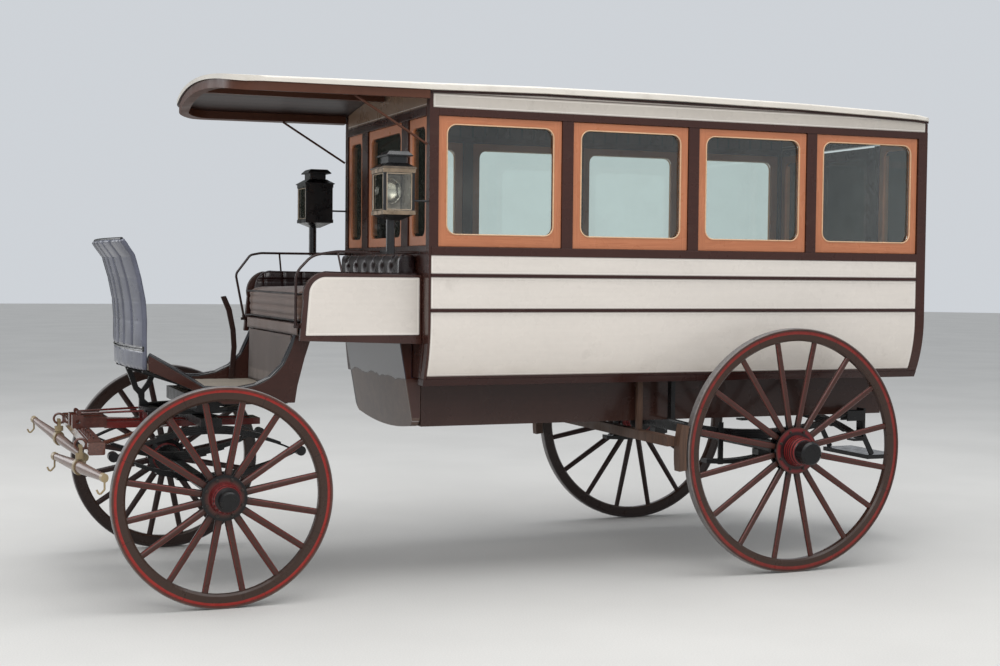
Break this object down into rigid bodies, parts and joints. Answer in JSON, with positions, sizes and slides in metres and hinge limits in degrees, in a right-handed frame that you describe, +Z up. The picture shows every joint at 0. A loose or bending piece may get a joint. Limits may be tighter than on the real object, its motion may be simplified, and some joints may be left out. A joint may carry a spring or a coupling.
{
  "type": "horse-drawn omnibus",
  "caption": "Closed horse-drawn passenger coach with side windows, rear door, covered driver seat, steering front gear and spoked wooden wheels.",
  "frame": {"origin": "on the ground below the middle of the vehicle", "axes": "+X forward to the pole, +Y to the left side, +Z up"},
  "size_m": [4.8446, 2.2, 2.5169],
  "materials": {
    "cream_paint": "gloss varnished paint",
    "brown_paint": "gloss varnished paint",
    "varnished_wood": "clear varnish",
    "roof_paint": "painted canvas",
    "glass": "clear",
    "lamp_glass": "clear bevelled",
    "black_leather": "patent",
    "seat_cloth": "heavy cloth",
    "bench_cloth": "plush",
    "mat": "matt ribbed",
    "wheel_paint": "gloss with red stripes",
    "tyre": "worn",
    "iron": "black enamel",
    "gear_paint": "gloss with red stripes",
    "worn_wood": "worn varnish",
    "lamp_metal": "polished",
    "interior": "varnished boards",
    "brake_wood": "rough"
  },
  "bodies": {
    "body": {"arch_panels": "cream_paint", "arm_bolsters": "black_leather", "bench_cushions": "bench_cloth", "bench_seats": "interior", "boot_sides": "brown_paint", "brake_gear": "brake_wood", "brake_lever": "iron", "canopy_frame": "varnished_wood", "corner_posts": "brown_paint", "dash": "black_leather", "dash_irons": "iron", "driver_backrest": "black_leather", "driver_cushion": "seat_cloth", "driver_seat_box": "brown_paint", "end_sashes": "varnished_wood", "floor_well": "brown_paint", "footboard": "mat", "front_lower_panel": "black_leather", "front_wall": "brown_paint", "lamp_glass": "lamp_glass", "lamps": "lamp_metal", "letterboards": "cream_paint", "mouldings": "brown_paint", "rails": "brown_paint", "rear_axle": "iron", "rear_cross_spring": "iron", "rear_springs": "iron", "rear_step": "iron", "rear_wall": "cream_paint", "roof": "roof_paint", "seat_arms": "cream_paint", "seat_rails": "iron", "seat_riser": "seat_cloth", "side_panel_left": "cream_paint", "side_panel_right": "cream_paint", "side_sashes": "varnished_wood", "sills": "brown_paint", "upper_fifth_wheel": "iron", "window_glass": "glass", "window_posts": "brown_paint"},
    "front_gear": {"front_axle": "iron", "front_springs": "iron", "lower_fifth_wheel": "iron", "futchells": "gear_paint", "splinter_bar": "worn_wood"},
    "singletree_left": {"singletree_left": "worn_wood", "singletree_irons_left": "lamp_metal"},
    "singletree_right": {"singletree_right": "worn_wood", "singletree_irons_right": "lamp_metal"},
    "rear_door": {"rear_door": "brown_paint", "rear_door_glass": "glass", "rear_door_handle": "lamp_metal"},
    "wheel_front_left": {"tyre_front_left": "tyre", "wheel_front_left": "wheel_paint"},
    "wheel_front_right": {"tyre_front_right": "tyre", "wheel_front_right": "wheel_paint"},
    "wheel_rear_left": {"tyre_rear_left": "tyre", "wheel_rear_left": "wheel_paint"},
    "wheel_rear_right": {"tyre_rear_right": "tyre", "wheel_rear_right": "wheel_paint"}
  },
  "joints": [
    {"name": "steer", "type": "hinge", "parent": "body", "child": "front_gear", "pos_m": [1.68773, 0, 0.852], "axis": [0, 0, 1], "range_deg": [-30, 30]},
    {"name": "front_left_spin", "type": "hinge", "parent": "front_gear", "child": "wheel_front_left", "pos_m": [1.68773, 0.818, 0.508], "axis": [0, 1, 0], "continuous": true},
    {"name": "front_right_spin", "type": "hinge", "parent": "front_gear", "child": "wheel_front_right", "pos_m": [1.68773, -0.818, 0.508], "axis": [0, 1, 0], "continuous": true},
    {"name": "rear_left_spin", "type": "hinge", "parent": "body", "child": "wheel_rear_left", "pos_m": [-1.26677, 0.929, 0.635], "axis": [0, 1, 0], "continuous": true},
    {"name": "rear_right_spin", "type": "hinge", "parent": "body", "child": "wheel_rear_right", "pos_m": [-1.26677, -0.929, 0.635], "axis": [0, 1, 0], "continuous": true},
    {"name": "rear_door_hinge", "type": "hinge", "parent": "body", "child": "rear_door", "pos_m": [-2.22027, -0.3025, 1.5], "axis": [0, 0, 1], "range_deg": [0, 100]},
    {"name": "singletree_left_swing", "type": "hinge", "parent": "front_gear", "child": "singletree_left", "pos_m": [2.28773, 0.5, 0.722], "axis": [0, 0, 1], "range_deg": [-26, 0]},
    {"name": "singletree_right_swing", "type": "hinge", "parent": "front_gear", "child": "singletree_right", "pos_m": [2.28773, -0.5, 0.748], "axis": [0, 0, 1], "range_deg": [-26, 6]}
  ]
}
